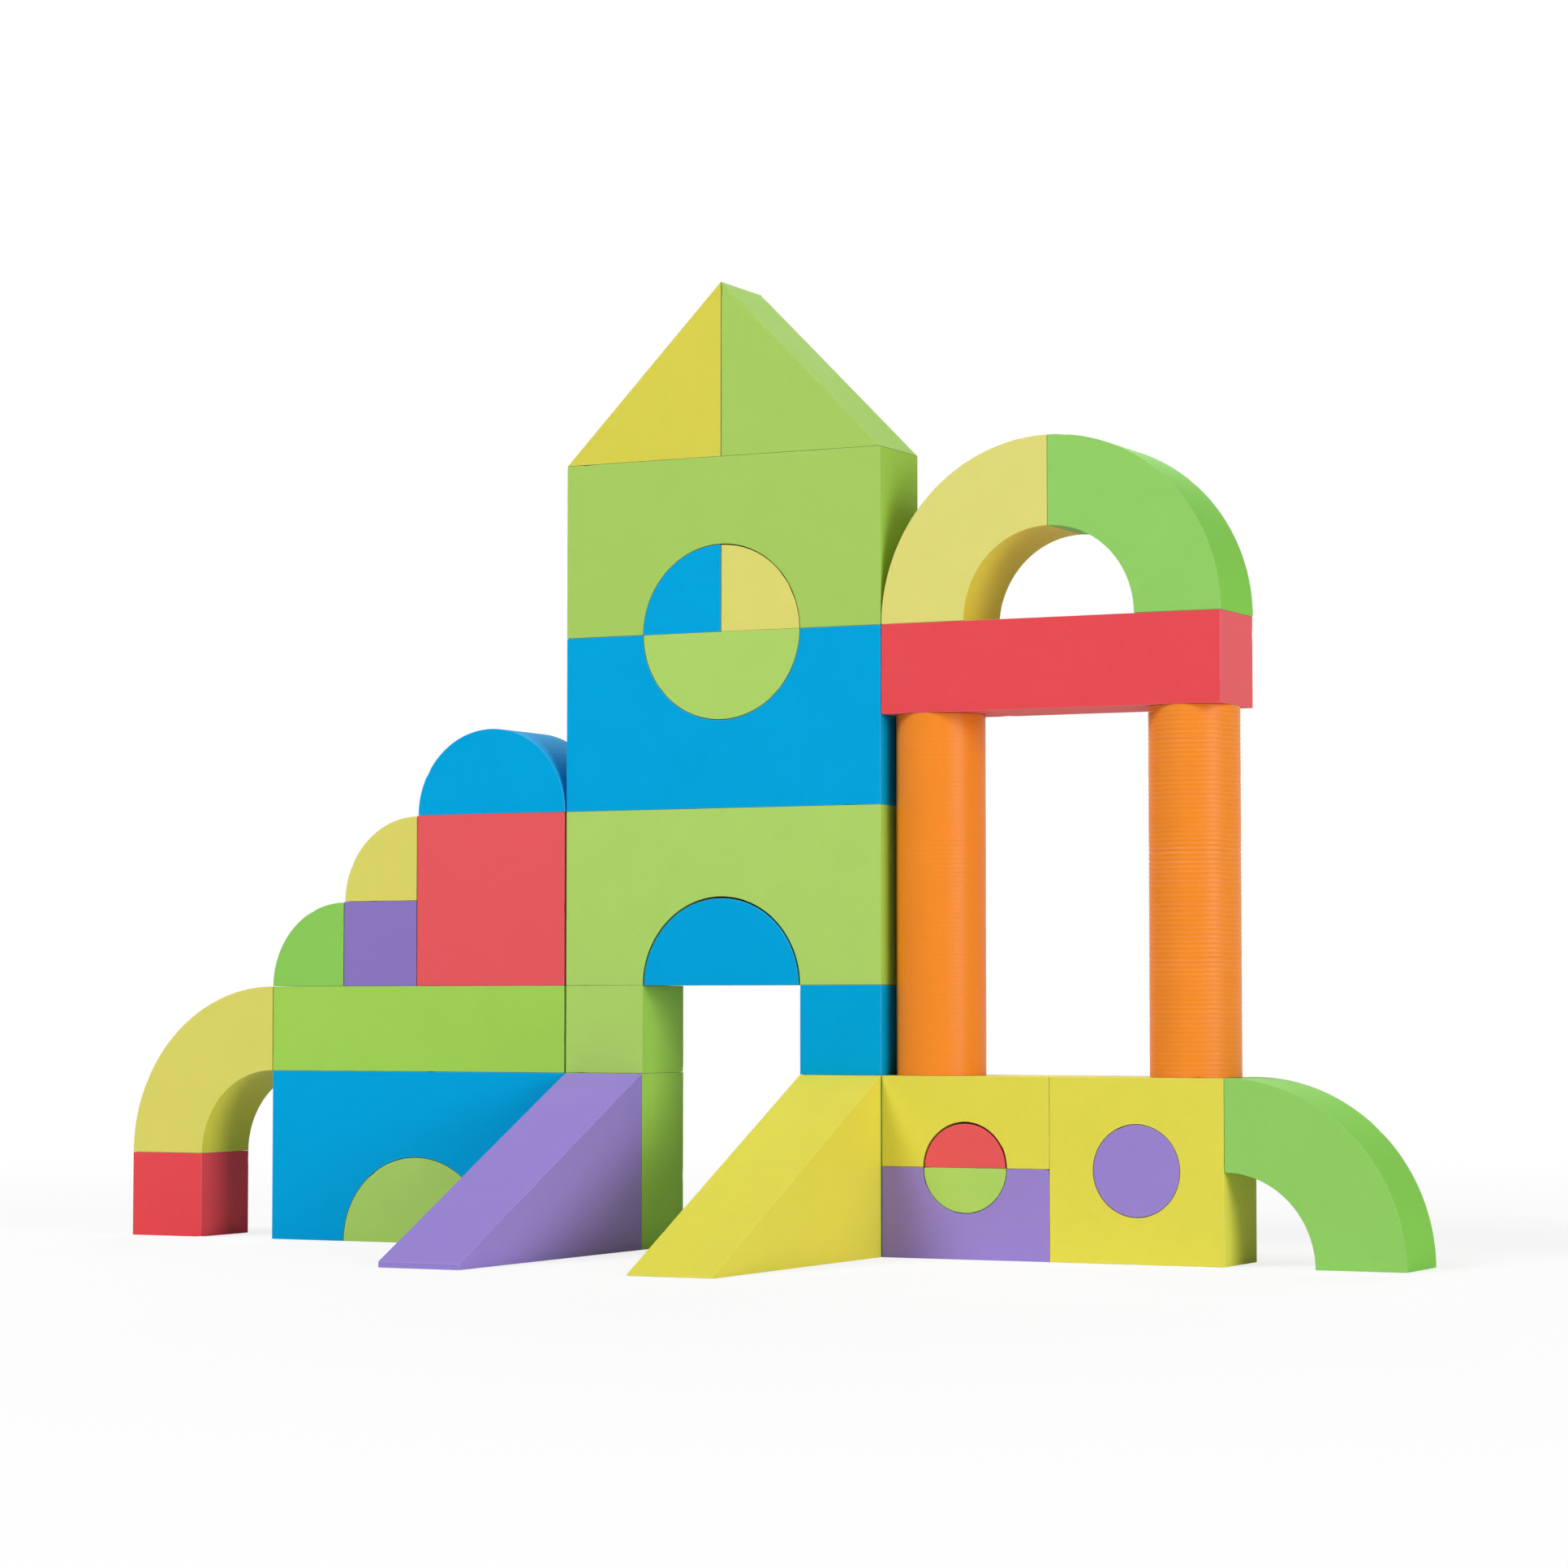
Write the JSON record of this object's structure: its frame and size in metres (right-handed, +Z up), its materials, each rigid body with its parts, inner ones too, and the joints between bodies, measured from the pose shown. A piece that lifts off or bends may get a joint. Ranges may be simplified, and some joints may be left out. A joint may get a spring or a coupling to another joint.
{
  "type": "foam building block castle",
  "caption": "Castle of loose cut-foam building blocks: arch blocks with disc fillings, cubes, ramps, round columns, a beam, quarter arches and roof wedges, stacked by hand.",
  "frame": {"origin": "on the floor, below the middle of the castle's box", "axes": "+Z up, -Y to the castle's front where the ramps lie, +X to the right seen from the front"},
  "size_m": [1.203, 0.3756, 0.825],
  "materials": {
    "foam_red": "matte closed-cell EVA foam",
    "foam_orange": "matte closed-cell EVA foam",
    "foam_purple": "matte closed-cell EVA foam",
    "foam_blue": "matte closed-cell EVA foam",
    "foam_lime_green": "matte closed-cell EVA foam",
    "foam_leaf_green": "matte closed-cell EVA foam",
    "foam_yellow": "matte closed-cell EVA foam",
    "foam_pale_yellow": "matte closed-cell EVA foam"
  },
  "bodies": {
    "left_foot_cube": {"left_foot_cube": "foam_red"},
    "left_quarter_arch": {"left_quarter_arch": "foam_pale_yellow"},
    "left_arch_block": {"left_arch_block": "foam_blue"},
    "left_arch_half_disc": {"left_arch_half_disc": "foam_lime_green"},
    "left_plank": {"left_plank": "foam_lime_green"},
    "plank_quarter_disc": {"plank_quarter_disc": "foam_leaf_green"},
    "plank_cube": {"plank_cube": "foam_purple"},
    "cube_quarter_disc": {"cube_quarter_disc": "foam_pale_yellow"},
    "plank_square_block": {"plank_square_block": "foam_red"},
    "square_half_disc": {"square_half_disc": "foam_blue"},
    "gate_ramp_left": {"gate_ramp_left": "foam_purple"},
    "gate_pillar_left": {"gate_pillar_left": "foam_lime_green"},
    "gate_cube_left": {"gate_cube_left": "foam_lime_green"},
    "gate_pillar_right": {"gate_pillar_right": "foam_lime_green"},
    "gate_ramp_right": {"gate_ramp_right": "foam_yellow"},
    "gate_cube_right": {"gate_cube_right": "foam_blue"},
    "gate_arch_block": {"gate_arch_block": "foam_lime_green"},
    "gate_half_disc": {"gate_half_disc": "foam_blue"},
    "sill_arch_block": {"sill_arch_block": "foam_blue"},
    "window_half_disc": {"window_half_disc": "foam_lime_green"},
    "head_arch_block": {"head_arch_block": "foam_lime_green"},
    "window_quarter_left": {"window_quarter_left": "foam_blue"},
    "window_quarter_right": {"window_quarter_right": "foam_pale_yellow"},
    "roof_wedge_left": {"roof_wedge_left": "foam_yellow"},
    "roof_wedge_right": {"roof_wedge_right": "foam_lime_green"},
    "bridge_block_lower": {"bridge_block_lower": "foam_purple"},
    "bridge_half_disc_lower": {"bridge_half_disc_lower": "foam_lime_green"},
    "bridge_block_upper": {"bridge_block_upper": "foam_yellow"},
    "bridge_half_disc_upper": {"bridge_half_disc_upper": "foam_red"},
    "holed_square_block": {"holed_square_block": "foam_yellow"},
    "round_plug": {"round_plug": "foam_purple"},
    "column_left": {"column_left": "foam_orange"},
    "column_right": {"column_right": "foam_orange"},
    "beam": {"beam": "foam_red"},
    "top_quarter_arch_left": {"top_quarter_arch_left": "foam_pale_yellow"},
    "top_quarter_arch_right": {"top_quarter_arch_right": "foam_leaf_green"},
    "right_quarter_arch": {"right_quarter_arch": "foam_leaf_green"}
  },
  "joints": [
    {"name": "lift_gate_cube_left", "type": "slide", "parent": "gate_pillar_left", "child": "gate_cube_left", "axis": [0, 0, 1], "range_m": [0, 0.16]},
    {"name": "lift_gate_arch_block", "type": "slide", "parent": "gate_cube_left", "child": "gate_arch_block", "axis": [0, 0, 1], "range_m": [0, 0.16]},
    {"name": "pull_gate_half_disc", "type": "slide", "parent": "gate_arch_block", "child": "gate_half_disc", "axis": [0, -1, 0], "range_m": [0, 0.1]},
    {"name": "lift_sill_arch_block", "type": "slide", "parent": "gate_arch_block", "child": "sill_arch_block", "axis": [0, 0, 1], "range_m": [0, 0.16]},
    {"name": "pull_window_half_disc", "type": "slide", "parent": "sill_arch_block", "child": "window_half_disc", "axis": [0, -1, 0], "range_m": [0, 0.1]},
    {"name": "lift_head_arch_block", "type": "slide", "parent": "sill_arch_block", "child": "head_arch_block", "axis": [0, 0, 1], "range_m": [0, 0.16]},
    {"name": "pull_window_quarter_left", "type": "slide", "parent": "head_arch_block", "child": "window_quarter_left", "axis": [0, -1, 0], "range_m": [0, 0.1]},
    {"name": "pull_window_quarter_right", "type": "slide", "parent": "head_arch_block", "child": "window_quarter_right", "axis": [0, -1, 0], "range_m": [0, 0.1]},
    {"name": "lift_roof_wedge_left", "type": "slide", "parent": "head_arch_block", "child": "roof_wedge_left", "axis": [0, 0, 1], "range_m": [0, 0.16]},
    {"name": "lift_roof_wedge_right", "type": "slide", "parent": "head_arch_block", "child": "roof_wedge_right", "axis": [0, 0, 1], "range_m": [0, 0.16]},
    {"name": "push_back_gate_pillar_right", "type": "slide", "parent": "gate_pillar_left", "child": "gate_pillar_right", "axis": [0, 1, 0], "range_m": [0, 0.15]},
    {"name": "push_back_gate_cube_right", "type": "slide", "parent": "gate_pillar_right", "child": "gate_cube_right", "axis": [0, 1, 0], "range_m": [0, 0.1]},
    {"name": "pull_gate_ramp_left", "type": "slide", "parent": "gate_pillar_left", "child": "gate_ramp_left", "axis": [0, -1, 0], "range_m": [0, 0.15]},
    {"name": "pull_gate_ramp_right", "type": "slide", "parent": "gate_pillar_left", "child": "gate_ramp_right", "axis": [0, -1, 0], "range_m": [0, 0.15]},
    {"name": "pull_left_arch_block", "type": "slide", "parent": "gate_pillar_left", "child": "left_arch_block", "axis": [0, -1, 0], "range_m": [0, 0.15]},
    {"name": "pull_left_arch_half_disc", "type": "slide", "parent": "left_arch_block", "child": "left_arch_half_disc", "axis": [0, -1, 0], "range_m": [0, 0.1]},
    {"name": "lift_left_plank", "type": "slide", "parent": "left_arch_block", "child": "left_plank", "axis": [0, 0, 1], "range_m": [0, 0.16]},
    {"name": "lift_plank_quarter_disc", "type": "slide", "parent": "left_plank", "child": "plank_quarter_disc", "axis": [0, 0, 1], "range_m": [0, 0.16]},
    {"name": "lift_plank_cube", "type": "slide", "parent": "left_plank", "child": "plank_cube", "axis": [0, 0, 1], "range_m": [0, 0.16]},
    {"name": "lift_cube_quarter_disc", "type": "slide", "parent": "plank_cube", "child": "cube_quarter_disc", "axis": [0, 0, 1], "range_m": [0, 0.16]},
    {"name": "lift_plank_square_block", "type": "slide", "parent": "left_plank", "child": "plank_square_block", "axis": [0, 0, 1], "range_m": [0, 0.16]},
    {"name": "lift_square_half_disc", "type": "slide", "parent": "plank_square_block", "child": "square_half_disc", "axis": [0, 0, 1], "range_m": [0, 0.16]},
    {"name": "slide_left_foot_cube", "type": "slide", "parent": "gate_pillar_left", "child": "left_foot_cube", "axis": [-1, 0, 0], "range_m": [0, 0.15]},
    {"name": "lift_left_quarter_arch", "type": "slide", "parent": "left_foot_cube", "child": "left_quarter_arch", "axis": [0, 0, 1], "range_m": [0, 0.16]},
    {"name": "pull_bridge_block_lower", "type": "slide", "parent": "gate_pillar_left", "child": "bridge_block_lower", "axis": [0, -1, 0], "range_m": [0, 0.15]},
    {"name": "pull_bridge_half_disc_lower", "type": "slide", "parent": "bridge_block_lower", "child": "bridge_half_disc_lower", "axis": [0, -1, 0], "range_m": [0, 0.1]},
    {"name": "lift_bridge_block_upper", "type": "slide", "parent": "bridge_block_lower", "child": "bridge_block_upper", "axis": [0, 0, 1], "range_m": [0, 0.16]},
    {"name": "pull_bridge_half_disc_upper", "type": "slide", "parent": "bridge_block_upper", "child": "bridge_half_disc_upper", "axis": [0, -1, 0], "range_m": [0, 0.1]},
    {"name": "lift_column_left", "type": "slide", "parent": "bridge_block_upper", "child": "column_left", "axis": [0, 0, 1], "range_m": [0, 0.16]},
    {"name": "lift_beam", "type": "slide", "parent": "column_left", "child": "beam", "axis": [0, 0, 1], "range_m": [0, 0.16]},
    {"name": "lift_top_quarter_arch_left", "type": "slide", "parent": "beam", "child": "top_quarter_arch_left", "axis": [0, 0, 1], "range_m": [0, 0.16]},
    {"name": "lift_top_quarter_arch_right", "type": "slide", "parent": "beam", "child": "top_quarter_arch_right", "axis": [0, 0, 1], "range_m": [0, 0.16]},
    {"name": "push_back_holed_square_block", "type": "slide", "parent": "gate_pillar_left", "child": "holed_square_block", "axis": [0, 1, 0], "range_m": [0, 0.15]},
    {"name": "pull_round_plug", "type": "slide", "parent": "holed_square_block", "child": "round_plug", "axis": [0, -1, 0], "range_m": [0, 0.1]},
    {"name": "push_back_column_right", "type": "slide", "parent": "holed_square_block", "child": "column_right", "axis": [0, 1, 0], "range_m": [0, 0.1]},
    {"name": "slide_right_quarter_arch", "type": "slide", "parent": "gate_pillar_left", "child": "right_quarter_arch", "axis": [1, 0, 0], "range_m": [0, 0.15]}
  ]
}
